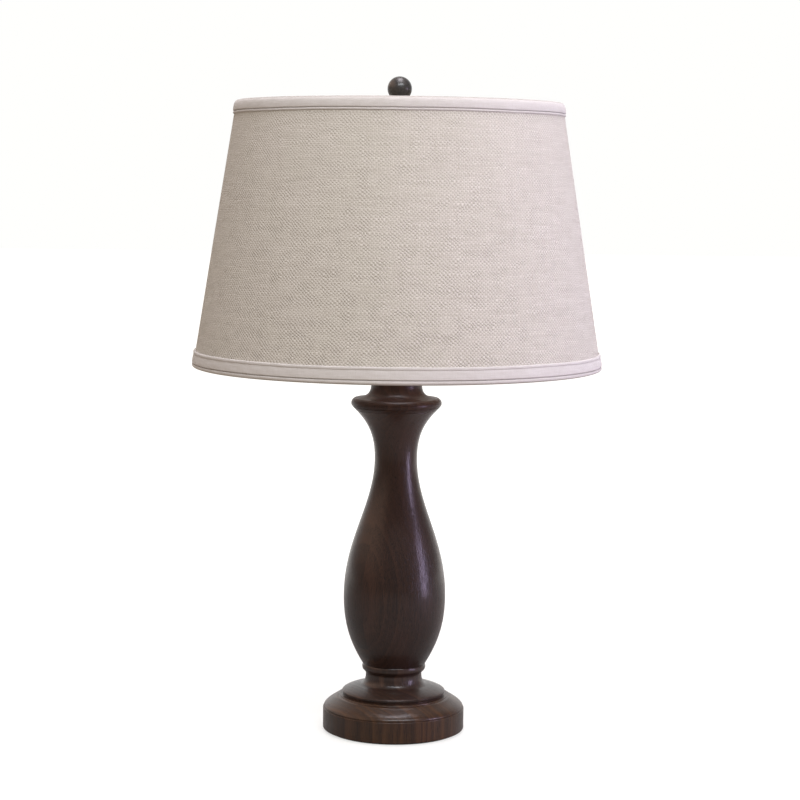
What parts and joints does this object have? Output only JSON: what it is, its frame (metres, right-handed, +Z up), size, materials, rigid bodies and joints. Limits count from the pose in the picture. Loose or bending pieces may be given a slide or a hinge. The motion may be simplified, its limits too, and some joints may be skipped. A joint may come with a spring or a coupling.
{
  "type": "table lamp",
  "caption": "Turned wood baluster table lamp with a tapered fabric drum shade on a harp, a turn-knob lampholder and a ball finial.",
  "frame": {"origin": "centre of the felt's underside, where the lamp stands", "axes": "+Z up through the column to the finial, +X to the right along the harp's plane, front towards -Y, cord inlet towards +Y"},
  "size_m": [0.4061, 0.406, 0.6509],
  "materials": {
    "wood_dark": "open-grain wood, dark walnut stain, satin lacquer",
    "felt": "dark felt",
    "black_plastic": "moulded black plastic, semi-gloss",
    "brass": "lacquered brass",
    "steel": "zinc-plated steel",
    "nickel": "satin nickel plate",
    "bronze": "oil-rubbed dark bronze, satin",
    "card": "fibre card",
    "frosted_glass": "frosted glass",
    "shade_fabric": "oatmeal burlap weave",
    "trim_tape": "pale woven tape",
    "shade_liner": "white styrene liner"
  },
  "bodies": {
    "base": {"foot": "wood_dark", "dome_ring": "wood_dark", "column": "wood_dark", "collar_neck": "wood_dark", "felt_pad": "felt", "cord_bushing": "black_plastic", "lamp_pipe": "brass", "base_washer": "steel", "base_spring_washer": "steel", "base_nut": "steel", "vase_cap": "bronze", "neck_spacer": "bronze", "neck_nut": "brass", "socket_cap": "brass", "socket_set_screw": "steel", "socket_shell": "brass", "socket_liner": "card", "socket_body": "black_plastic", "screw_shell": "brass", "centre_contact": "brass", "terminal_screws": "nickel", "harp_saddle": "brass"},
    "switch": {"switch_shaft": "steel", "switch_knob": "black_plastic"},
    "bulb": {"bulb_globe": "frosted_glass", "bulb_stem": "frosted_glass", "bulb_filament": "steel", "bulb_cap": "nickel", "bulb_insulator": "black_plastic", "bulb_contact": "nickel"},
    "harp": {"harp_bow": "brass"},
    "sleeve_left": {"harp_sleeve_left": "brass"},
    "sleeve_right": {"harp_sleeve_right": "brass"},
    "swivel": {"swivel_stud": "brass"},
    "shade": {"spider_hub": "nickel", "spider_arm_1": "nickel", "spider_arm_2": "nickel", "spider_arm_3": "nickel", "top_ring": "nickel", "bottom_ring": "nickel", "shade_liner": "shade_liner", "shade_fabric": "shade_fabric", "top_trim": "trim_tape", "bottom_trim": "trim_tape"},
    "finial": {"finial": "bronze"}
  },
  "joints": [
    {"name": "switch_turn", "type": "hinge", "parent": "base", "child": "switch", "pos_m": [0, -0.02, 0.4127], "axis": [0, -1, 0], "continuous": true},
    {"name": "bulb_out", "type": "slide", "parent": "base", "child": "bulb", "axis": [0, 0, 1], "range_m": [0, 0.03]},
    {"name": "harp_lift", "type": "slide", "parent": "base", "child": "harp", "axis": [0, 0, 1], "range_m": [0, 0.03]},
    {"name": "sleeve_left_lift", "type": "slide", "parent": "harp", "child": "sleeve_left", "axis": [0, 0, 1], "range_m": [0, 0.012]},
    {"name": "sleeve_right_lift", "type": "slide", "parent": "harp", "child": "sleeve_right", "axis": [0, 0, 1], "range_m": [0, 0.012]},
    {"name": "shade_turn", "type": "hinge", "parent": "harp", "child": "swivel", "pos_m": [0, 0, 0.6082], "axis": [0, 0, 1], "continuous": true},
    {"name": "shade_lift", "type": "slide", "parent": "swivel", "child": "shade", "axis": [0, 0, 1], "range_m": [0, 0.27]},
    {"name": "finial_turn", "type": "hinge", "parent": "shade", "child": "finial", "pos_m": [0, 0, 0.6389], "axis": [0, 0, 1], "continuous": true}
  ]
}
